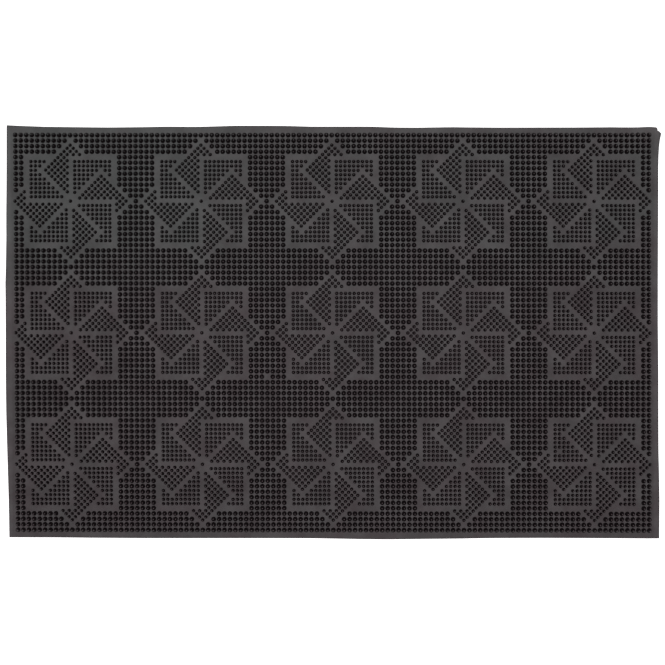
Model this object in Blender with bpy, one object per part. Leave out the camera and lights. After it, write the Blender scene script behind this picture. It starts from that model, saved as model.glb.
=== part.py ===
"""Door mat: a black rubber scraper mat, moulded in one press with pins on its face.

The mat lies flat, its length along X and its width along Y. The origin is the middle of
its underside. Large pins stand on a square grid. Places in that grid are left clear in
the shape of an eight-pointed star, and each holds a pinwheel: eight blades of smaller
pins round one middle pin, with plain paths between the blades.

The solids are the regions of the moulding. Each field of pins is a block that holds its
pins, as high as their tips, with straight sides that touch the roots of its outer pins.
"""

import math

import bmesh
import bpy
from mathutils import Matrix, Vector

# Overall sizes, in metres
LENGTH = 0.716
WIDTH = 0.450
CORNER_RADIUS = 0.0012
EDGE_BEVEL = 0.0004

# Heights above the floor
BACKING_THICKNESS = 0.0012
WEB_TOP = 0.0025
PIN_TOP = 0.0075
SMALL_PIN_TOP = 0.0070

# Large pins: their spacing, and their radius where they meet the web
PITCH = 0.006
PIN_ROOT_RADIUS = 0.0023

# Small pins, in the pinwheels
SMALL_PITCH = 0.0048
SMALL_PIN_ROOT_RADIUS = 0.0017
SMALL_PIN_TIP_RADIUS = 0.0007

# Plain margins, from the roots of the outer pins to the edge of the mat
END_BORDER = 0.0058
SIDE_BORDER = 0.0060

# Pinwheels: their spacing, and the half-width and half-diagonal of the square and the
# diamond of large pins that are left out round each one, all counted in large pins
MOTIF_PINS = 24
STAR_SQUARE_PINS = 9
STAR_DIAMOND_PINS = 12
STAR_TO_MAT_EDGE = 0.0005

# Blades: the narrowest plain path between their outer pins and the large pins, and how
# many rows short of its outer corner a blade's hook begins
BLADES = 8
OUTER_PATH = 0.0045
HOOK_PINS = 3
MIDDLE_PIN_SIDES = 12

# Clearance between neighbouring solids, how deep joined shapes sink into each other, and
# how far a cutter passes what it cuts
GAP = 0.0003
BITE = 0.0004
OVERSHOOT = 0.004

# Sizes that follow from these
MOTIF_PITCH = MOTIF_PINS * PITCH
STAR_TIP = STAR_DIAMOND_PINS * PITCH - PIN_ROOT_RADIUS * math.sqrt(2)
WEB_BOTTOM = BACKING_THICKNESS + GAP

# Small pins from the pinwheel's middle to a blade's outer row: as many as fit both the
# star's square and its diamond
SQUARE_ROOM = STAR_SQUARE_PINS * PITCH - PIN_ROOT_RADIUS - OUTER_PATH
DIAMOND_ROOM = (STAR_TIP - OUTER_PATH) / math.sqrt(2)
BLADE_PINS = math.floor((min(SQUARE_ROOM, DIAMOND_ROOM) - SMALL_PIN_ROOT_RADIUS) / SMALL_PITCH)
FIELD_HALF_LENGTH = LENGTH / 2 - END_BORDER
FIELD_HALF_WIDTH = WIDTH / 2 - SIDE_BORDER

BLACK_RUBBER = (0.030, 0.027, 0.028, 1.0)
RUBBER_ROUGHNESS = 0.6


def clear_scene():
    """Remove every object that the scene starts with."""
    for thing in list(bpy.data.objects):
        bpy.data.objects.remove(thing, do_unlink=True)


def new_collection(name):
    """Make a collection in the scene."""
    collection = bpy.data.collections.new(name)
    bpy.context.scene.collection.children.link(collection)
    return collection


def rubber(name):
    """A copy of the mat's one material, for one region."""
    material = bpy.data.materials.new(name)
    material.use_nodes = True
    shader = material.node_tree.nodes["Principled BSDF"]
    shader.inputs["Base Color"].default_value = BLACK_RUBBER
    shader.inputs["Roughness"].default_value = RUBBER_ROUGHNESS
    shader.inputs["Metallic"].default_value = 0.0
    return material


def add_part(name, mesh, collection, location=(0.0, 0.0)):
    """Put a region of the mat into its collection, with its own material."""
    part = bpy.data.objects.new(name, mesh)
    part.location = (*location, 0.0)
    collection.objects.link(part)
    if not mesh.materials:
        mesh.materials.append(None)
    part.material_slots[0].link = "OBJECT"
    part.material_slots[0].material = rubber(name + "_rubber")
    return part


def add_cutter(name, mesh, collection, location=(0.0, 0.0)):
    """Put a shape that only cuts or joins into the cutters' collection."""
    cutter = bpy.data.objects.new(name, mesh)
    cutter.location = (*location, 0.0)
    cutter.hide_render = True
    cutter.display_type = "WIRE"
    collection.objects.link(cutter)
    return cutter


def combine(part, cutter, operation):
    """Join, cut or trim a part with another shape."""
    boolean = part.modifiers.new(cutter.name, "BOOLEAN")
    boolean.operation = operation
    boolean.solver = "EXACT"
    boolean.object = cutter


def evaluated_mesh(thing):
    """The mesh that an object's curve or modifiers make, with its seams closed."""
    bpy.context.view_layer.update()
    graph = bpy.context.evaluated_depsgraph_get()
    mesh = bpy.data.meshes.new_from_object(thing.evaluated_get(graph))
    shape = bmesh.new()
    shape.from_mesh(mesh)
    bmesh.ops.remove_doubles(shape, verts=shape.verts, dist=1e-6)
    shape.to_mesh(mesh)
    shape.free()
    return mesh


def box_mesh(name, x_range, y_range, z_range):
    """A box between two corners."""
    ranges = (x_range, y_range, z_range)
    centre = [(low + high) / 2 for low, high in ranges]
    size = [high - low for low, high in ranges]
    place = Matrix.Translation(centre) @ Matrix.Diagonal((*size, 1.0))
    shape = bmesh.new()
    bmesh.ops.create_cube(shape, size=1.0)
    bmesh.ops.transform(shape, matrix=place, verts=shape.verts)
    mesh = bpy.data.meshes.new(name)
    shape.to_mesh(mesh)
    shape.free()
    return mesh


def prism_mesh(name, outline, z_range):
    """A flat outline with straight sides between two heights."""
    low, high = z_range
    curve = bpy.data.curves.new(name, "CURVE")
    curve.dimensions = "2D"
    curve.fill_mode = "BOTH"
    curve.extrude = (high - low) / 2
    spline = curve.splines.new("POLY")
    spline.points.add(len(outline) - 1)
    for point, (x, y) in zip(spline.points, outline):
        point.co = (x, y, 0.0, 1.0)
    spline.use_cyclic_u = True
    guide = bpy.data.objects.new(name, curve)
    bpy.context.scene.collection.objects.link(guide)
    mesh = evaluated_mesh(guide)
    mesh.transform(Matrix.Translation((0.0, 0.0, (low + high) / 2)))
    bpy.data.objects.remove(guide, do_unlink=True)
    return mesh


def bevel_edges(mesh, picked, width, segments):
    """Round the edges of a mesh that a test picks out."""
    shape = bmesh.new()
    shape.from_mesh(mesh)
    edges = [edge for edge in shape.edges if picked(edge)]
    bmesh.ops.bevel(
        shape, geom=edges, offset=width, segments=segments, profile=0.5, affect="EDGES", clamp_overlap=True
    )
    shape.to_mesh(mesh)
    shape.free()


def star_outline(inset):
    """The eight-pointed clearing round a pinwheel: a square and a diamond, joined."""
    side = STAR_SQUARE_PINS * PITCH - PIN_ROOT_RADIUS - inset
    tip = STAR_TIP - inset * math.sqrt(2)
    quarter = [Vector((tip, 0.0)), Vector((side, tip - side)), Vector((side, side)), Vector((tip - side, side))]
    turns = [Matrix.Rotation(math.radians(90 * turn), 2) for turn in range(4)]
    return [turn @ point for turn in turns for point in quarter]


def blade_outline():
    """One blade: a triangle of small pins beside the diagonal, with a hook at its corner."""
    radius = SMALL_PIN_ROOT_RADIUS
    chamfer = radius * (math.sqrt(2) - 1)
    inner = SMALL_PITCH - radius
    root = 2 * SMALL_PITCH - radius
    outer = BLADE_PINS * SMALL_PITCH + radius
    hook = (BLADE_PINS - HOOK_PINS) * SMALL_PITCH - radius
    hook_sum = 2 * BLADE_PINS - HOOK_PINS
    notch_column = (hook_sum - 1) / 2 * SMALL_PITCH
    notch_row = (hook_sum + 1) / 2 * SMALL_PITCH - radius * math.sqrt(2)
    return [
        (inner, root),
        (SMALL_PITCH + chamfer, root),
        (notch_column, notch_row),
        (BLADE_PINS * SMALL_PITCH - chamfer, hook),
        (outer, hook),
        (outer, outer),
        (inner, outer),
    ]


def pinwheel_mesh(cutters):
    """A star of web with its blades and its middle pin on top."""
    web = add_cutter("pinwheel_web", prism_mesh("pinwheel_web", star_outline(GAP), (WEB_BOTTOM, WEB_TOP)), cutters)
    blade = prism_mesh("blade", blade_outline(), (WEB_TOP - BITE, SMALL_PIN_TOP))
    for number in range(BLADES):
        turned = add_cutter(f"blade_{number + 1}", blade, cutters)
        turned.rotation_euler.z = math.tau * number / BLADES
        combine(web, turned, "UNION")

    pin = bpy.data.meshes.new("middle_pin")
    shape = bmesh.new()
    height = SMALL_PIN_TOP - WEB_TOP + BITE
    bmesh.ops.create_cone(
        shape,
        cap_ends=True,
        segments=MIDDLE_PIN_SIDES,
        radius1=SMALL_PIN_ROOT_RADIUS,
        radius2=SMALL_PIN_TIP_RADIUS,
        depth=height,
        matrix=Matrix.Translation((0.0, 0.0, SMALL_PIN_TOP - height / 2)),
    )
    shape.to_mesh(pin)
    shape.free()
    combine(web, add_cutter("middle_pin", pin, cutters), "UNION")
    return evaluated_mesh(web)


def motif_centres(full_size):
    """Where the pinwheels sit along one side of the mat, evenly about its middle."""
    spare = full_size - 2 * STAR_TO_MAT_EDGE - 2 * STAR_TIP
    count = math.floor(spare / MOTIF_PITCH) + 1
    return [(number - (count - 1) / 2) * MOTIF_PITCH for number in range(count)]


def base_sheet(parts):
    """The plain backing under the whole mat, with its four corners slightly round."""
    half = (LENGTH / 2, WIDTH / 2)
    mesh = box_mesh("base_sheet", (-half[0], half[0]), (-half[1], half[1]), (0.0, BACKING_THICKNESS))

    def upright(edge):
        along = edge.verts[1].co - edge.verts[0].co
        return abs(along.z) > BACKING_THICKNESS / 2

    bevel_edges(mesh, upright, CORNER_RADIUS, segments=3)
    add_part("base_sheet", mesh, parts)


def border_strips(parts):
    """The plain margin: two long strips, and two short ones between them."""
    inner_x = FIELD_HALF_LENGTH + GAP
    inner_y = FIELD_HALF_WIDTH + GAP
    half_x = LENGTH / 2
    half_y = WIDTH / 2
    heights = (WEB_BOTTOM, WEB_TOP)
    strips = {
        "border_front": ((-half_x, half_x), (-half_y, -inner_y), Vector((0, -1, 0))),
        "border_back": ((-half_x, half_x), (inner_y, half_y), Vector((0, 1, 0))),
        "border_left": ((-half_x, -inner_x), (-inner_y + GAP, inner_y - GAP), Vector((-1, 0, 0))),
        "border_right": ((inner_x, half_x), (-inner_y + GAP, inner_y - GAP), Vector((1, 0, 0))),
    }
    for name, (x_range, y_range, outwards) in strips.items():
        mesh = box_mesh(name, x_range, y_range, heights)
        reach = max(vertex.co.dot(outwards) for vertex in mesh.vertices)

        def on_outer_rim(edge):
            on_face = all(vertex.co.dot(outwards) > reach - GAP / 2 for vertex in edge.verts)
            on_top = all(vertex.co.z > WEB_TOP - GAP / 2 for vertex in edge.verts)
            return on_face and on_top

        bevel_edges(mesh, on_outer_rim, EDGE_BEVEL, segments=2)
        add_part(name, mesh, parts)


def pinwheels(columns, rows, parts, cutters):
    """One pinwheel at each clearing, trimmed where its star passes the pin field's end."""
    mesh = pinwheel_mesh(cutters)
    trim = add_cutter(
        "field_trim",
        box_mesh(
            "field_trim",
            (-FIELD_HALF_LENGTH, FIELD_HALF_LENGTH),
            (-FIELD_HALF_WIDTH, FIELD_HALF_WIDTH),
            (WEB_BOTTOM - OVERSHOOT, PIN_TOP + OVERSHOOT),
        ),
        cutters,
    )
    for row, y in enumerate(rows, start=1):
        for column, x in enumerate(columns, start=1):
            part = add_part(f"pinwheel_{row}_{column}", mesh, parts, (x, y))
            past_end = abs(x) + STAR_TIP > FIELD_HALF_LENGTH
            past_side = abs(y) + STAR_TIP > FIELD_HALF_WIDTH
            if past_end or past_side:
                combine(part, trim, "INTERSECT")


def pin_fields(columns, rows, parts, cutters):
    """The large pins: a block for each cell between pinwheels, less the stars at its corners."""
    star = prism_mesh("star_clearing", star_outline(0.0), (WEB_BOTTOM - OVERSHOOT, PIN_TOP + OVERSHOOT))
    stars = {(x, y): add_cutter("star_clearing", star, cutters, (x, y)) for x in columns for y in rows}
    x_lines = [-FIELD_HALF_LENGTH, *columns, FIELD_HALF_LENGTH]
    y_lines = [-FIELD_HALF_WIDTH, *rows, FIELD_HALF_WIDTH]
    x_cells = list(zip(x_lines, x_lines[1:]))
    y_cells = list(zip(y_lines, y_lines[1:]))
    for row, (y_low, y_high) in enumerate(y_cells, start=1):
        for column, (x_low, x_high) in enumerate(x_cells, start=1):
            name = f"pin_field_{row}_{column}"
            x_range = (x_low + GAP / 2, x_high - GAP / 2)
            y_range = (y_low + GAP / 2, y_high - GAP / 2)
            mesh = box_mesh(name, x_range, y_range, (WEB_BOTTOM, PIN_TOP))
            part = add_part(name, mesh, parts)
            for corner in ((x, y) for x in (x_low, x_high) for y in (y_low, y_high)):
                if corner in stars:
                    combine(part, stars[corner], "DIFFERENCE")


def main():
    """Build the whole mat."""
    clear_scene()
    parts = new_collection("door_mat")
    cutters = new_collection("cutters")
    columns = motif_centres(LENGTH)
    rows = motif_centres(WIDTH)
    base_sheet(parts)
    border_strips(parts)
    pin_fields(columns, rows, parts, cutters)
    pinwheels(columns, rows, parts, cutters)


main()
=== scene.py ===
"""A moulded black rubber scraper mat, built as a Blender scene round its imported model."""

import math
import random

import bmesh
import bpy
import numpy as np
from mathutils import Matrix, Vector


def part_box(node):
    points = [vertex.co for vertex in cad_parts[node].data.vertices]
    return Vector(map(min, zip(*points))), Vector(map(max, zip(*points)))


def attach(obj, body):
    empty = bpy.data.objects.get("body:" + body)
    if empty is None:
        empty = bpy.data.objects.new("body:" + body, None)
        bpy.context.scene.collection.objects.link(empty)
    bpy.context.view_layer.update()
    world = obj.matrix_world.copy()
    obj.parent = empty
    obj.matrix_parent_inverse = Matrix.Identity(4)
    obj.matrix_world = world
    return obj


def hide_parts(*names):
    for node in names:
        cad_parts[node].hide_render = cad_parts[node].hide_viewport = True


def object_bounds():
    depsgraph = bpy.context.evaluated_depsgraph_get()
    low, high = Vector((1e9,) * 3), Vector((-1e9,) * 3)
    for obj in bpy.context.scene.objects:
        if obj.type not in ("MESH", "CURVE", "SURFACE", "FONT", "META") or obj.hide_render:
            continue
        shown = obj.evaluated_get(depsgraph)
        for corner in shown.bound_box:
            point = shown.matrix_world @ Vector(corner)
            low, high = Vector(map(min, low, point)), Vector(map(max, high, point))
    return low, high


bl_info = {
    "name": "Rubber pin door mat",
    "version": (1, 0, 0),
    "blender": (4, 5, 0),
    "location": "3D View > Sidebar > Door Mat",
    "description": "Models a black rubber scraper mat: its sheet, its pins and its pinwheels",
    "category": "Add Mesh",
}

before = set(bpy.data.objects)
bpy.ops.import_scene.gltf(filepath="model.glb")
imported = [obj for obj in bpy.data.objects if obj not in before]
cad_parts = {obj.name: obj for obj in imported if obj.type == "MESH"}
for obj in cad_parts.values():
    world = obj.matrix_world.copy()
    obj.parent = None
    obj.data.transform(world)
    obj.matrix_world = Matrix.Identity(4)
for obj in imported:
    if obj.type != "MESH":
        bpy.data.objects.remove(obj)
CAD_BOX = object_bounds()

MM = 0.001

# The attribute that says how much painted highlight a pin gets near its tip (0 to 1), and how far
# down from its tip that reaches
HIGHLIGHT_SHARE = "highlight_share"
HIGHLIGHT_REACH = 0.2 * MM

# How much lower the roughness is on the plain border at the mat's two ends and along its sides
END_POLISH = 0.08
SIDE_POLISH = 0.025

# What the frame says about the mat
MAT_LENGTH = CAD_BOX[1][0] - CAD_BOX[0][0]
MAT_WIDTH = CAD_BOX[1][1] - CAD_BOX[0][1]
PIN_TOP = CAD_BOX[1][2]
WEB_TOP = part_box("border_front")[1][2]
SMALL_PIN_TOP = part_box("pinwheel_2_2")[1][2]
ROWS = sum(1 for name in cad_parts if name.startswith("pinwheel_") and name.endswith("_1"))
COLUMNS = sum(1 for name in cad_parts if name.startswith("pinwheel_1_"))

# The pattern, counted in large pins: how far apart the pinwheels are, and how far the square
# and the diamond that make up a star reach from its middle
MOTIF_PINS = 24
STAR_SQUARE_PINS = 9
STAR_DIAMOND_PINS = 12

# A pinwheel's blades, counted in small pins from its middle: how far one reaches, and the
# column and row added together from which its hook starts
BLADES = 8
BLADE_PINS = 9
HOOK_SUM = 15

# How far the hand-trimmed edge lies outside the nominal one along each side: pairs of the
# place along the side and the distance, in mm
TRIM_LEFT = [
    (-225, -0.2), (-190, 0.1), (-160, 0.8), (-125, 1.6), (-88, 2.4), (-50, 2.6), (-11, 2.4),
    (40, 2.3), (55, 2.4), (70, 1.8), (104, 1.1), (130, 1.0), (160, 0.5), (190, 0.0),
    (205, -0.3), (225, -0.8),
]
TRIM_RIGHT = [
    (-225, 0.9), (-184, 1.4), (-155, 1.1), (-128, 0.5), (-86, 0.4), (-46, 0.45), (10, 0.0),
    (60, 0.1), (110, 0.4), (150, 0.65), (185, 0.7), (200, 0.9), (206, 1.5), (225, 1.5),
]
TRIM_FRONT = [
    (-358, -0.5), (-303, -0.4), (-270, -0.1), (-211, 0.2), (-100, 0.1), (-30, 0.1), (0, 0.5),
    (28, 1.0), (60, 1.3), (94, 0.8), (134, 0.4), (173, -0.3), (230, -0.5), (310, -0.3),
    (345, -0.2), (358, -0.4),
]
TRIM_BACK = [
    (-358, 1.6), (-340, 0.9), (-314, 0.2), (-248, -0.5), (-208, -0.1), (-182, 0.5),
    (-150, 0.2), (-129, 0.7), (-103, 1.5), (-50, 1.2), (-23, 0.4), (43, 0.4), (69, -0.6),
    (95, -0.7), (132, -0.1), (145, -0.3), (180, -0.6), (267, -0.5), (306, -0.2),
    (333, -0.6), (346, -0.2), (358, -0.4),
]

# The soft mat lies a little out of square: its stretch along Y (and shrinkage along X), and skew
STRETCH = 0.00326
SKEW = -0.00228

# How far in from the edge the mesh bends to the trimmed outline, and the strip there that
# carries the closer mesh lines, with where those lines lie in from the edge
TRIM_REACH = 14 * MM
EDGE_STRIP = 12 * MM
EDGE_LINES = (0.0, 1.5 * MM, 3 * MM, 5 * MM, 8 * MM)

# How deep a pin's root is sunk into the sheet, so that no gap shows under a leaning pin
ROOT_DEPTH = 0.1 * MM

# The height of the larger slow wave. The two together lift the mat by up to 0.7 mm
WAVE = 0.22 * MM

# Mesh points nearer than this become one
SAME_POINT = 0.02 * MM

# The camera's place over the mat and its small turns in degrees, and the lamp's place
CAMERA_PLACE = (5.7 * MM, 16.6 * MM)
CAMERA_TURNS = (-0.617, 0.219, -0.096)
LAMP_PLACE = (-0.08, 0.18)

# Corners that have curled up a little in use: place, height and reach in mm
CURLS = [((-358, 225), 3.0, 75), ((358, 225), 4.5, 60), ((358, -225), 1.2, 90)]

# Pins that have been torn off: large ones by their place in the grid, and small ones by
# their pinwheel's row and column, then blade, column and row in it
TORN_LARGE = [(-12, -8)]
TORN_SMALL = {(2, 1): (6, 1, 5), (1, 5): (2, 3, 8)}

# The back right corner is torn off with a notch: where the edge's mesh points there end up, in mm
TORN_CORNER = [
    (350.0, 224.7), (353.2, 224.5), (355.9, 224.1), (357.0, 222.8), (356.7, 220.4),
    (359.2, 219.7), (361.3, 217.3), (360.6, 214.2), (360.1, 211.4), (359.7, 208.5),
]

# How many rows and columns of points inside the torn corner are evened out
TORN_INSIDE = 6


def at(pairs, place):
    """The distance in a trim list at a place along its side."""
    places = [pair[0] for pair in pairs]
    values = [pair[1] for pair in pairs]
    return float(np.interp(place, places, values))


def lie(x, y):
    """Where a place on the square mat ends up as the mat lies, a little stretched and skewed."""
    return x * (1 - STRETCH) + y * SKEW, y * (1 + STRETCH) + x * SKEW


def rise(x, y):
    """How far the mat stands off the floor at a place: slow waves and curled corners."""
    wave = math.sin(x * 9.0 + 0.6) * math.sin(y * 11.0 - 0.4) + 0.6 * math.sin(x * 21.0 + y * 5.0)
    height = WAVE * (1.6 + wave)
    for (corner_x, corner_y), lift, reach in CURLS:
        near = 1 - math.hypot(x - corner_x * MM, y - corner_y * MM) / (reach * MM)
        if near > 0:
            height += lift * MM * near * near
    return height


# Materials


def linear(colour):
    """An sRGB hex value as linear red, green, blue and alpha."""
    channels = [int(colour[start:start + 2], 16) / 255 for start in (1, 3, 5)]
    return [c / 12.92 if c <= 0.04045 else ((c + 0.055) / 1.055) ** 2.4 for c in channels] + [1.0]


def add_node(tree, kind, settings=None, **inputs):
    """Add a node. A setting is one of its properties; an input is a value or another socket.

    An input is given by its name with _ for each space, or by _ and its number.
    """
    node = tree.nodes.new(kind)
    for name, value in (settings or {}).items():
        setattr(node, name, value)
    for name, value in inputs.items():
        key = int(name[1:]) if name[0] == "_" else name.replace("_", " ")
        socket = node.inputs[key]
        if isinstance(value, bpy.types.NodeSocket):
            tree.links.new(value, socket)
        else:
            socket.default_value = value
    return node


def new_material(name):
    """An empty node material with its output and an Object coordinate."""
    material = bpy.data.materials.new(name)
    material.use_nodes = True
    tree = material.node_tree
    tree.nodes.clear()
    output = tree.nodes.new("ShaderNodeOutputMaterial")
    place = tree.nodes.new("ShaderNodeTexCoord").outputs["Object"]
    return material, tree, output, place


def patches_and_cool_light_of(tree, place, finish):
    """How much grey lies at a place: random patches with small marks, and painted cooler, paler
    light, most at the back left.
    """
    patches = add_node(
        tree, "ShaderNodeTexNoise", _0=place, Scale=finish.bloom_scale, Detail=4.0, Roughness=0.6
    )
    marks = add_node(
        tree, "ShaderNodeTexNoise", _0=place, Scale=finish.mark_scale, Detail=3.0, Roughness=0.7
    )
    both = add_node(
        tree,
        "ShaderNodeMath",
        {"operation": "MULTIPLY_ADD"},
        _0=marks.outputs[0],
        _1=0.6,
        _2=patches.outputs[0],
    )
    spots = add_node(
        tree,
        "ShaderNodeMapRange",
        Value=both.outputs[0],
        From_Min=0.66,
        From_Max=0.94,
        To_Max=0.45,
    )
    # Painted cooler, paler light, strongest towards the back left
    parts = add_node(tree, "ShaderNodeSeparateXYZ", _0=place)
    back = add_node(
        tree,
        "ShaderNodeMapRange",
        {"interpolation_type": "SMOOTHSTEP"},
        Value=parts.outputs[1],
        From_Min=20 * MM,
        From_Max=120 * MM,
        To_Max=0.75,
    )
    left = add_node(
        tree,
        "ShaderNodeMapRange",
        {"interpolation_type": "SMOOTHSTEP"},
        Value=parts.outputs[0],
        From_Min=-60 * MM,
        From_Max=-200 * MM,
        To_Min=0.45,
        To_Max=1.0,
    )
    patch_and_cool_light_share = add_node(
        tree,
        "ShaderNodeMath",
        {"operation": "MULTIPLY_ADD", "use_clamp": True},
        _0=back.outputs[0],
        _1=left.outputs[0],
        _2=spots.outputs[0],
    )
    return patch_and_cool_light_share.outputs[0]


def mix_colours(tree, share, first, second):
    """A colour from the first to the second, each a hex value or a socket."""
    colours = [linear(colour) if isinstance(colour, str) else colour for colour in (first, second)]
    mix = add_node(
        tree, "ShaderNodeMix", {"data_type": "RGBA"}, _0=share, _6=colours[0], _7=colours[1]
    )
    return mix.outputs[2]


def between(tree, share, low, high):
    """A value from low to high, as a share goes from 0 to 1."""
    return add_node(
        tree, "ShaderNodeMapRange", Value=share, To_Min=low, To_Max=high
    ).outputs[0]


def grain_of(tree, place, finish, depth):
    """The fine pitting that the tool's etched face leaves, as a bump.

    The real pits are about a tenth of a millimetre wide. They are drawn several times
    coarser, so that they show.
    """
    grain = add_node(
        tree, "ShaderNodeTexNoise", _0=place, Scale=finish.grain_scale, Detail=4.0, Roughness=0.65
    )
    bump = add_node(
        tree, "ShaderNodeBump", Height=grain.outputs[0], Strength=0.5, Distance=depth
    )
    return bump.outputs[0]


def polish_of(tree, place):
    """How much smoother the plain border is than the face among the pins: most at the two ends."""
    parts = add_node(tree, "ShaderNodeSeparateXYZ", _0=place)
    shares = []
    for axis, start, polish in (
        (0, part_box("border_right")[0][0], END_POLISH),
        (1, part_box("border_back")[0][1], SIDE_POLISH),
    ):
        distance = add_node(
            tree, "ShaderNodeMath", {"operation": "ABSOLUTE"}, _0=parts.outputs[axis]
        )
        share = add_node(
            tree,
            "ShaderNodeMapRange",
            Value=distance.outputs[0],
            From_Min=start - MM,
            From_Max=start + MM,
            To_Max=polish,
        )
        shares.append(share.outputs[0])
    larger = add_node(
        tree, "ShaderNodeMath", {"operation": "MAXIMUM"}, _0=shares[0], _1=shares[1]
    )
    return larger.outputs[0]


def sheet_rubber(finish):
    """Black vulcanised rubber (SBR), press-moulded against an etched steel face.

    It gives near-black with a soft satin sheen. It turns grey in random patches some tens of
    millimetres wide, and has painted cooler, paler light towards the back left. The sheen is
    a little uneven, and the plain border is smoother than the face among the pins.
    """
    material, tree, output, place = new_material("press_moulded_sbr_sheet")
    # Grey in random patches, and painted cooler, paler light towards the back left
    grey_patches_and_cool_light = patches_and_cool_light_of(tree, place, finish)
    shine = add_node(
        tree, "ShaderNodeTexNoise", _0=place, Scale=finish.shine_scale, Detail=3.0, Roughness=0.6
    )
    roughness = add_node(
        tree,
        "ShaderNodeMapRange",
        Value=shine.outputs[0],
        From_Min=0.35,
        From_Max=0.65,
        To_Min=0.44,
        To_Max=0.56,
    )
    polished = add_node(
        tree,
        "ShaderNodeMath",
        {"operation": "SUBTRACT"},
        _0=roughness.outputs[0],
        _1=polish_of(tree, place),
    )
    shader = add_node(
        tree,
        "ShaderNodeBsdfPrincipled",
        Base_Color=mix_colours(tree, grey_patches_and_cool_light, finish.clean, finish.grey_patches_and_cool_light),
        Roughness=polished.outputs[0],
        Normal=grain_of(tree, place, finish, 0.05 * MM),
        IOR=1.52,
    )
    tree.links.new(shader.outputs[0], output.inputs["Surface"])
    return material


def edge_rubber_with_painted_shade(finish):
    """Raw rubber along the trimmed edge, which the knife leaves matt, with painted shade that
    makes it darker than the face.
    """
    material, tree, output, place = new_material("sbr_edge_with_painted_shade")
    # The edge is darker with painted shade, except where the grey patches and painted cool light
    # lift it to the face's colour
    grey_patches_and_cool_light = patches_and_cool_light_of(tree, place, finish)
    shader = add_node(
        tree,
        "ShaderNodeBsdfPrincipled",
        Base_Color=mix_colours(tree, grey_patches_and_cool_light, finish.painted_shade, finish.clean),
        Roughness=0.85,
        Normal=grain_of(tree, place, finish, 0.12 * MM),
        IOR=1.52,
        Specular_IOR_Level=0.2,
    )
    tree.links.new(shader.outputs[0], output.inputs["Surface"])
    return material


def pin_rubber(name, finish):
    """The same rubber on the pins, with painted shade that makes them darker down their sides.

    The tips are smoother, and their paler colour is a painted highlight. How near a point is
    to the tip is in the piece's own attribute.
    """
    material, tree, output, place = new_material(name)
    # A pin's sides get painted shade, and near its tip it gets a painted highlight
    highlight_share = add_node(tree, "ShaderNodeAttribute", {"attribute_name": HIGHLIGHT_SHARE}).outputs["Fac"]
    grey_patches_and_cool_light = patches_and_cool_light_of(tree, place, finish)
    tip = mix_colours(tree, grey_patches_and_cool_light, finish.painted_highlight, finish.grey_patches_and_cool_light)
    shader = add_node(
        tree,
        "ShaderNodeBsdfPrincipled",
        Base_Color=mix_colours(tree, highlight_share, finish.painted_shade, tip),
        Roughness=between(tree, highlight_share, 0.5, 0.38),
        Specular_IOR_Level=0.3,
        Normal=grain_of(tree, place, finish, 0.03 * MM),
        IOR=1.52,
    )
    tree.links.new(shader.outputs[0], output.inputs["Surface"])
    return material


# Mesh tools


def deselect():
    """Leave nothing selected, so that the next operator acts on its own piece only."""
    if bpy.context.object and bpy.context.object.mode != "OBJECT":
        bpy.ops.object.mode_set(mode="OBJECT")
    bpy.ops.object.select_all(action="DESELECT")


def edit(select_type):
    """Go into edit mode with nothing selected there."""
    bpy.ops.object.mode_set(mode="EDIT")
    bpy.ops.mesh.select_mode(type=select_type)
    bpy.ops.mesh.select_all(action="DESELECT")


def settle_place():
    """Move a piece's place into its mesh, and face all its faces outwards."""
    bpy.ops.object.mode_set(mode="EDIT")
    bpy.ops.mesh.select_all(action="SELECT")
    bpy.ops.mesh.normals_make_consistent(inside=False)
    bpy.ops.object.mode_set(mode="OBJECT")
    bpy.ops.object.transform_apply(location=True, rotation=True, scale=True)


def turned_pin(name, rings, sides):
    """One pin, drawn up from a disc ring by ring. Each ring is a radius and a height."""
    deselect()
    radius, height = rings[0]
    bpy.ops.mesh.primitive_circle_add(
        vertices=sides, radius=radius, fill_type="NGON", location=(0, 0, height)
    )
    pin = bpy.context.object
    pin.name = name
    bpy.ops.object.transform_apply(location=True)
    bpy.ops.object.mode_set(mode="EDIT")
    bpy.ops.mesh.select_mode(type="FACE")
    bpy.ops.mesh.select_all(action="SELECT")
    for (low_radius, low), (high_radius, high) in zip(rings, rings[1:]):
        bpy.ops.mesh.extrude_region_move(TRANSFORM_OT_translate={"value": (0, 0, high - low)})
        ratio = high_radius / low_radius
        bpy.ops.transform.resize(value=(ratio, ratio, 1), center_override=(0, 0, high))
    settle_place()
    bpy.ops.object.shade_smooth_by_angle(angle=math.radians(50))
    # How near a point is to the tip: how much painted highlight it gets
    highlight_share = pin.data.attributes.new(HIGHLIGHT_SHARE, "FLOAT", "POINT")
    top = rings[-1][1]
    for vertex in pin.data.vertices:
        highlight_share.data[vertex.index].value = min(1.0, max(0.0, 1 - (top - vertex.co.z - HIGHLIGHT_REACH) / HIGHLIGHT_REACH))
    return pin


def plant(name, pin, places, seed, unevenness):
    """A piece made of copies of one pin. Each leans and stands a little differently."""
    draw = random.Random(seed)
    shape = bmesh.new()
    for place in places:
        x, y = lie(*place)
        lean = draw.gauss(0, unevenness)
        turn = draw.uniform(0, math.tau)
        tall = 1 + draw.gauss(0, unevenness)
        copy = pin.data.copy()
        copy.transform(
            Matrix.Translation((x, y, WEB_TOP + rise(x, y)))
            @ Matrix.Rotation(turn, 4, "Z")
            @ Matrix.Rotation(lean, 4, "X")
            @ Matrix.Diagonal((1, 1, tall, 1))
        )
        shape.from_mesh(copy)
        bpy.data.meshes.remove(copy)
    mesh = bpy.data.meshes.new(name)
    shape.to_mesh(mesh)
    shape.free()
    piece = bpy.data.objects.new(name, mesh)
    bpy.context.scene.collection.objects.link(piece)
    return piece


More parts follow.
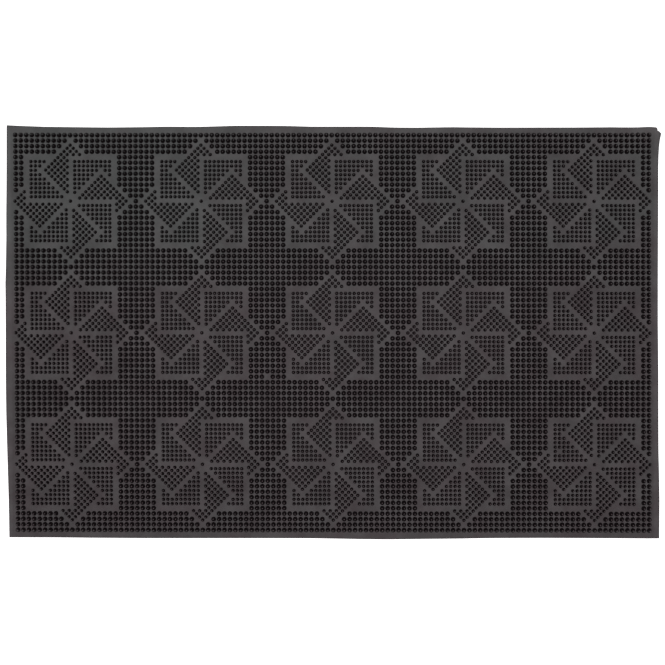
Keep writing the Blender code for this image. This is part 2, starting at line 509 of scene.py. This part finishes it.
def hand_over(piece, materials, nodes):
    """Give a finished piece its materials and its body, and hide the parts of the nodes that it
    stands for.
    """
    for material in materials:
        piece.data.materials.append(material)
    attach(piece, "root")
    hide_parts(*nodes)


# The pattern


def motif_lines(count):
    """Where the pinwheels' centres lie along one side, counted in large pins."""
    return [round((number - (count - 1) / 2) * MOTIF_PINS) for number in range(count)]


def is_ground(column, row):
    """Whether a large pin stands at a place in the grid, or a pinwheel's star clears it."""
    across = min(abs(column - centre) for centre in motif_lines(COLUMNS))
    along = min(abs(row - centre) for centre in motif_lines(ROWS))
    return max(across, along) >= STAR_SQUARE_PINS and across + along >= STAR_DIAMOND_PINS


def blade_places(pitch):
    """The small pins of one blade, about the pinwheel's centre."""
    steps = range(1, BLADE_PINS + 1)
    return [
        Vector((column * pitch, row * pitch))
        for row in steps
        for column in steps
        if column < row or column + row >= HOOK_SUM
    ]


def pinwheel_places(pitch):
    """All the small pins of one pinwheel: one in the middle, and blades turned about it."""
    blade = blade_places(pitch)
    turns = [Matrix.Rotation(math.tau * number / BLADES, 2) for number in range(BLADES)]
    return [Vector((0, 0))] + [turn @ place for turn in turns for place in blade]


def cell_lines(count, last):
    """The first pin of each field between the pinwheels' centres, and one past the last."""
    return [-last, *motif_lines(count), last + 1]


# Settings


class DOORMAT_PG_sheet(bpy.types.PropertyGroup):
    length: bpy.props.FloatProperty(
        name="Length", description="Along X", default=MAT_LENGTH, unit="LENGTH"
    )
    width: bpy.props.FloatProperty(
        name="Width", description="Along Y", default=MAT_WIDTH, unit="LENGTH"
    )
    thickness: bpy.props.FloatProperty(
        name="Thickness",
        description="Of the sheet, without its pins",
        default=WEB_TOP,
        unit="LENGTH",
    )
    rim: bpy.props.FloatProperty(
        name="Rim", description="How round the sheet's edge is", default=1.1 * MM, unit="LENGTH"
    )
    cell: bpy.props.FloatProperty(
        name="Cell",
        description="Spacing of the sheet's mesh lines",
        default=10 * MM,
        unit="LENGTH",
    )


class DOORMAT_PG_pins(bpy.types.PropertyGroup):
    pitch: bpy.props.FloatProperty(
        name="Large pitch",
        description="Spacing of the large pins",
        default=6.0 * MM,
        unit="LENGTH",
    )
    root: bpy.props.FloatProperty(
        name="Large root",
        description="Radius where a large pin meets the sheet",
        default=2.75 * MM,
        unit="LENGTH",
    )
    tip: bpy.props.FloatProperty(
        name="Large tip",
        description="Radius of a large pin's tip",
        default=0.75 * MM,
        unit="LENGTH",
    )
    small_pitch: bpy.props.FloatProperty(
        name="Small pitch",
        description="Spacing of the small pins",
        default=4.8 * MM,
        unit="LENGTH",
    )
    small_root: bpy.props.FloatProperty(
        name="Small root",
        description="Radius where a small pin meets the sheet",
        default=2.03 * MM,
        unit="LENGTH",
    )
    small_tip: bpy.props.FloatProperty(
        name="Small tip",
        description="Radius of a small pin's tip",
        default=0.65 * MM,
        unit="LENGTH",
    )
    unevenness: bpy.props.FloatProperty(
        name="Unevenness",
        description="How much pins differ in height and lean",
        default=0.04,
        min=0,
        max=0.2,
    )


class DOORMAT_PG_rubber(bpy.types.PropertyGroup):
    clean: bpy.props.StringProperty(
        name="Clean", description="Clean rubber, in hex", default="#271a1e"
    )
    # Grey of the random patches and of the painted cooler, paler light at the back left
    grey_patches_and_cool_light: bpy.props.StringProperty(
        name="Bloom", description="Rubber under the bloom, in hex", default="#2e3432"
    )
    # Painted shade, on the pins' sides and on the sheet's cut edge
    painted_shade: bpy.props.StringProperty(
        name="Sides", description="Sides of the pins, in hex", default="#150f11"
    )
    # Painted highlight, on the pins' tips
    painted_highlight: bpy.props.StringProperty(
        name="Tips", description="Rubbed tips of the pins, in hex", default="#584a4e"
    )
    bloom_scale: bpy.props.FloatProperty(
        name="Bloom scale", description="Patches of bloom in a metre, about", default=28.0, min=1
    )
    mark_scale: bpy.props.FloatProperty(
        name="Mark scale", description="Small marks in a metre, about", default=260.0, min=1
    )
    shine_scale: bpy.props.FloatProperty(
        name="Shine scale",
        description="Duller and shinier places in a metre, about",
        default=38.0,
        min=1,
    )
    grain_scale: bpy.props.FloatProperty(
        name="Grain scale",
        description="Pits of the tool's grain in a metre, about",
        default=1500.0,
        min=1,
    )


class DOORMAT_PG_studio(bpy.types.PropertyGroup):
    distance: bpy.props.FloatProperty(
        name="Camera height", description="Of the camera over the mat", default=1.5, unit="LENGTH"
    )
    view: bpy.props.FloatProperty(
        name="View",
        description="Width that the camera sees at the mat",
        default=0.7301,
        unit="LENGTH",
    )
    floor: bpy.props.FloatProperty(
        name="Floor", description="Side of the floor", default=8.0, unit="LENGTH"
    )
    lamp_length: bpy.props.FloatProperty(
        name="Lamp length", description="Along X", default=3.2, unit="LENGTH"
    )
    lamp_width: bpy.props.FloatProperty(
        name="Lamp width", description="Along Y", default=2.6, unit="LENGTH"
    )
    lamp_height: bpy.props.FloatProperty(
        name="Lamp height", description="Over the floor", default=2.3, unit="LENGTH"
    )
    lamp_power: bpy.props.FloatProperty(
        name="Lamp power", description="In watts", default=52.5, min=0
    )
    fill: bpy.props.FloatProperty(
        name="Fill", description="Strength of the room's light", default=0.13, min=0
    )


# Operators


class DOORMAT_OT_studio(bpy.types.Operator):
    """Set up the white floor, the lights and the camera over the mat"""

    bl_idname = "doormat.studio"
    bl_label = "Studio"

    def execute(self, context):
        studio = context.scene.doormat_studio
        scene = context.scene
        self.floor(studio)
        self.lights(scene, studio)
        self.camera(scene, studio)
        scene.view_settings.view_transform = "Standard"
        scene.view_settings.look = "None"
        return {"FINISHED"}

    def floor(self, studio):
        """A white floor that also gives a little light, as a light table does."""
        deselect()
        bpy.ops.mesh.primitive_plane_add(size=studio.floor, location=(0, 0, -0.05 * MM))
        floor = bpy.context.object
        floor.name = "floor"
        bpy.ops.object.transform_apply(location=True)
        material, tree, output, _ = new_material("white_light_table")
        shader = add_node(
            tree,
            "ShaderNodeBsdfPrincipled",
            Base_Color=linear("#f2f2f2"),
            Roughness=0.9,
            Emission_Color=linear("#ffffff"),
            Emission_Strength=1.0,
        )
        tree.links.new(shader.outputs[0], output.inputs["Surface"])
        floor.data.materials.append(material)

    def lights(self, scene, studio):
        """One wide soft lamp overhead, and an even pale room."""
        lamp = bpy.data.objects.new("overhead_lamp", bpy.data.lights.new("overhead_lamp", "AREA"))
        lamp.data.shape = "RECTANGLE"
        lamp.data.size = studio.lamp_length
        lamp.data.size_y = studio.lamp_width
        lamp.data.energy = studio.lamp_power
        lamp.data.color = linear("#fff8fb")[:3]
        lamp.location = (*LAMP_PLACE, studio.lamp_height)
        scene.collection.objects.link(lamp)

        world = bpy.data.worlds.new("pale_room")
        world.use_nodes = True
        scene.world = world
        tree = world.node_tree
        tree.nodes.clear()
        seen = add_node(tree, "ShaderNodeLightPath").outputs["Is Camera Ray"]
        strength = between(tree, seen, studio.fill, 1.0)
        room = add_node(tree, "ShaderNodeBackground", Color=linear("#ffffff"), Strength=strength)
        tree.links.new(room.outputs[0], tree.nodes.new("ShaderNodeOutputWorld").inputs["Surface"])

    def camera(self, scene, studio):
        """A camera over the mat, almost straight above its middle."""
        camera = bpy.data.objects.new("camera", bpy.data.cameras.new("camera"))
        camera.location = (*CAMERA_PLACE, studio.distance + WEB_TOP)
        camera.rotation_euler = [math.radians(angle) for angle in CAMERA_TURNS]
        camera.data.sensor_width = 36.0
        camera.data.lens = camera.data.sensor_width * studio.distance / studio.view
        camera.data.clip_end = 20.0
        scene.collection.objects.link(camera)
        scene.camera = camera


class DOORMAT_OT_sheet(bpy.types.Operator):
    """Model the mat's sheet, with its trimmed edge, round rim and slow waves"""

    bl_idname = "doormat.sheet"
    bl_label = "Sheet"

    def execute(self, context):
        sheet = context.scene.doormat_sheet
        finish = context.scene.doormat_rubber
        piece = self.blank(sheet)
        self.shape_outline(piece, sheet)
        self.tear_corner(piece, len(self.lines(sheet.length, sheet.cell)))
        self.thicken(piece, sheet)
        self.lay(piece)
        nodes = ["base_sheet", "border_front", "border_back", "border_left", "border_right"]
        hand_over(piece, [sheet_rubber(finish), edge_rubber_with_painted_shade(finish)], nodes)
        return {"FINISHED"}

    def lines(self, size, cell):
        """Mesh lines across a side: even ones, with closer ones near both edges."""
        edge = [size / 2 - inset for inset in EDGE_LINES]
        inner = 2 * (size / 2 - EDGE_STRIP)
        count = round(inner / cell)
        middle = [(number / count - 0.5) * inner for number in range(count + 1)]
        return [-place for place in edge] + middle + edge[::-1]

    def blank(self, sheet):
        """A flat grid whose lines lie where the sheet needs them."""
        x_lines = self.lines(sheet.length, sheet.cell)
        y_lines = self.lines(sheet.width, sheet.cell)
        deselect()
        bpy.ops.mesh.primitive_grid_add(
            x_subdivisions=len(x_lines) - 1, y_subdivisions=len(y_lines) - 1, size=1.0
        )
        piece = bpy.context.object
        piece.name = "mat_sheet"
        for vertex in piece.data.vertices:
            column = round((vertex.co.x + 0.5) * (len(x_lines) - 1))
            row = round((vertex.co.y + 0.5) * (len(y_lines) - 1))
            vertex.co = (x_lines[column], y_lines[row], sheet.thickness)
        return piece

    def shape_outline(self, piece, sheet):
        """Bend the outer lines to the hand-trimmed edge."""
        half_x = sheet.length / 2
        half_y = sheet.width / 2
        for vertex in piece.data.vertices:
            x, y = vertex.co.x, vertex.co.y
            near_x = max(0.0, 1 - (half_x - abs(x)) / TRIM_REACH)
            near_y = max(0.0, 1 - (half_y - abs(y)) / TRIM_REACH)
            side_x = at(TRIM_RIGHT if x > 0 else TRIM_LEFT, y / MM) * MM
            side_y = at(TRIM_BACK if y > 0 else TRIM_FRONT, x / MM) * MM
            vertex.co.x += side_x * near_x * math.copysign(1, x)
            vertex.co.y += side_y * near_y * math.copysign(1, y)

    def tear_corner(self, piece, columns):
        """Bend the edge at the back right corner to where it tore, and even the mesh inside."""
        points = piece.data.vertices
        last = len(points) - 1
        along_back = [last - step for step in (4, 3, 2, 1, 0)]
        down_right = [last - columns * step for step in (1, 2, 3, 4, 5)]
        for number, place in zip(along_back + down_right, TORN_CORNER):
            points[number].co.xy = Vector(place) * MM
        edit("VERT")
        bpy.ops.object.mode_set(mode="OBJECT")
        inside = range(1, TORN_INSIDE + 1)
        for row in inside:
            for column in inside:
                points[last - columns * row - column].select = True
        bpy.ops.object.mode_set(mode="EDIT")
        bpy.ops.mesh.vertices_smooth(factor=0.5, repeat=20)
        bpy.ops.object.mode_set(mode="OBJECT")

    def thicken(self, piece, sheet):
        """Draw the sheet down to the floor, round its rims, and set its cut edge apart."""
        edit("FACE")
        bpy.ops.mesh.select_all(action="SELECT")
        down = (0, 0, -sheet.thickness)
        bpy.ops.mesh.extrude_region_move(TRANSFORM_OT_translate={"value": down})
        bpy.ops.mesh.select_all(action="SELECT")
        bpy.ops.mesh.normals_make_consistent(inside=False)
        bpy.ops.object.mode_set(mode="OBJECT")
        bevel = piece.modifiers.new("rim", "BEVEL")
        bevel.width = sheet.rim
        bevel.segments = 3
        bevel.limit_method = "ANGLE"
        bevel.angle_limit = math.radians(60)
        bpy.ops.object.modifier_apply(modifier=bevel.name)
        edit("VERT")
        bpy.ops.mesh.select_all(action="SELECT")
        bpy.ops.mesh.remove_doubles(threshold=SAME_POINT)
        bpy.ops.object.mode_set(mode="OBJECT")
        for face in piece.data.polygons:
            face.material_index = int(abs(face.normal.z) < 0.9)
        bpy.ops.object.shade_smooth_by_angle(angle=math.radians(40))

    def lay(self, piece):
        """Lay the sheet down, with its slow waves and curled corners."""
        for vertex in piece.data.vertices:
            vertex.co.xy = lie(*vertex.co.xy)
            vertex.co.z += rise(vertex.co.x, vertex.co.y)


class DOORMAT_OT_large_pins(bpy.types.Operator):
    """Model the fields of large pins between the pinwheels"""

    bl_idname = "doormat.large_pins"
    bl_label = "Large pins"

    def execute(self, context):
        pins = context.scene.doormat_pins
        finish = context.scene.doormat_rubber
        tall = PIN_TOP - WEB_TOP
        # Up the pin: the flare of its root, its straight taper, and its rounded tip
        rings = [
            (pins.root, -ROOT_DEPTH),
            (pins.root - 0.3 * MM, 0.5 * MM),
            (pins.tip, tall - 0.5 * MM),
            (pins.tip - 0.25 * MM, tall - 0.12 * MM),
            (pins.tip - 0.5 * MM, tall),
        ]
        pin = turned_pin("large_pin", rings, 12)
        rubber = pin_rubber("press_moulded_sbr_large_pin", finish)
        last_column = math.floor((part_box("border_right")[0][0] - pins.root) / pins.pitch)
        last_row = math.floor((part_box("border_back")[0][1] - pins.root) / pins.pitch)
        x_lines = cell_lines(COLUMNS, last_column)
        y_lines = cell_lines(ROWS, last_row)
        for row, rows in enumerate(zip(y_lines, y_lines[1:]), start=1):
            for column, columns in enumerate(zip(x_lines, x_lines[1:]), start=1):
                places = [
                    (x * pins.pitch, y * pins.pitch)
                    for y in range(*rows)
                    for x in range(*columns)
                    if is_ground(x, y) and (x, y) not in TORN_LARGE
                ]
                seed = 100 * row + column
                piece = plant(f"large_pins_{row}_{column}", pin, places, seed, pins.unevenness)
                hand_over(piece, [rubber], [f"pin_field_{row}_{column}"])
        bpy.data.objects.remove(pin, do_unlink=True)
        return {"FINISHED"}


class DOORMAT_OT_small_pins(bpy.types.Operator):
    """Model the pinwheels of small pins"""

    bl_idname = "doormat.small_pins"
    bl_label = "Small pins"

    def execute(self, context):
        pins = context.scene.doormat_pins
        finish = context.scene.doormat_rubber
        tall = SMALL_PIN_TOP - WEB_TOP
        # Up the pin: the flare of its root, its straight taper, and its rounded tip
        rings = [
            (pins.small_root, -ROOT_DEPTH),
            (pins.small_root - 0.25 * MM, 0.35 * MM),
            (pins.small_tip, tall - 0.5 * MM),
            (pins.small_tip - 0.2 * MM, tall - 0.1 * MM),
            (pins.small_tip - 0.4 * MM, tall),
        ]
        pin = turned_pin("small_pin", rings, 10)
        rubber = pin_rubber("press_moulded_sbr_small_pin", finish)
        wheel = pinwheel_places(pins.small_pitch)
        for row, y in enumerate(motif_lines(ROWS), start=1):
            for column, x in enumerate(motif_lines(COLUMNS), start=1):
                centre = Vector((x, y)) * pins.pitch
                places = [centre + place for place in wheel]
                if (row, column) in TORN_SMALL:
                    del places[self.torn_number(*TORN_SMALL[row, column])]
                seed = 500 + 100 * row + column
                piece = plant(f"pinwheel_pins_{row}_{column}", pin, places, seed, pins.unevenness)
                hand_over(piece, [rubber], [f"pinwheel_{row}_{column}"])
        bpy.data.objects.remove(pin, do_unlink=True)
        return {"FINISHED"}

    def torn_number(self, blade, column, row):
        """Where a torn pin stands in the list of a pinwheel's pins."""
        places = blade_places(1)
        return 1 + blade * len(places) + places.index(Vector((column, row)))


class DOORMAT_PT_panel(bpy.types.Panel):
    """The mat's settings and the buttons that model it"""

    bl_idname = "DOORMAT_PT_panel"
    bl_label = "Door Mat"
    bl_space_type = "VIEW_3D"
    bl_region_type = "UI"
    bl_category = "Door Mat"

    def draw(self, context):
        for name, group in SETTINGS.items():
            box = self.layout.box()
            settings = getattr(context.scene, name)
            for prop in group.__annotations__:
                box.prop(settings, prop)
        for operator in OPERATORS:
            self.layout.operator(operator.bl_idname)


SETTINGS = {
    "doormat_sheet": DOORMAT_PG_sheet,
    "doormat_pins": DOORMAT_PG_pins,
    "doormat_rubber": DOORMAT_PG_rubber,
    "doormat_studio": DOORMAT_PG_studio,
}
OPERATORS = (DOORMAT_OT_studio, DOORMAT_OT_sheet, DOORMAT_OT_large_pins, DOORMAT_OT_small_pins)


def register():
    """Make the settings, the operators and the panel known to Blender."""
    for name, group in SETTINGS.items():
        bpy.utils.register_class(group)
        setattr(bpy.types.Scene, name, bpy.props.PointerProperty(type=group))
    for operator in OPERATORS:
        bpy.utils.register_class(operator)
    bpy.utils.register_class(DOORMAT_PT_panel)


def unregister():
    """Undo register, in the opposite order."""
    bpy.utils.unregister_class(DOORMAT_PT_panel)
    for operator in reversed(OPERATORS):
        bpy.utils.unregister_class(operator)
    for name, group in reversed(SETTINGS.items()):
        delattr(bpy.types.Scene, name)
        bpy.utils.unregister_class(group)


def main():
    """Build the whole scene."""
    register()
    bpy.ops.doormat.studio()
    bpy.ops.doormat.sheet()
    bpy.ops.doormat.large_pins()
    bpy.ops.doormat.small_pins()


if __name__ == "__main__":
    main()
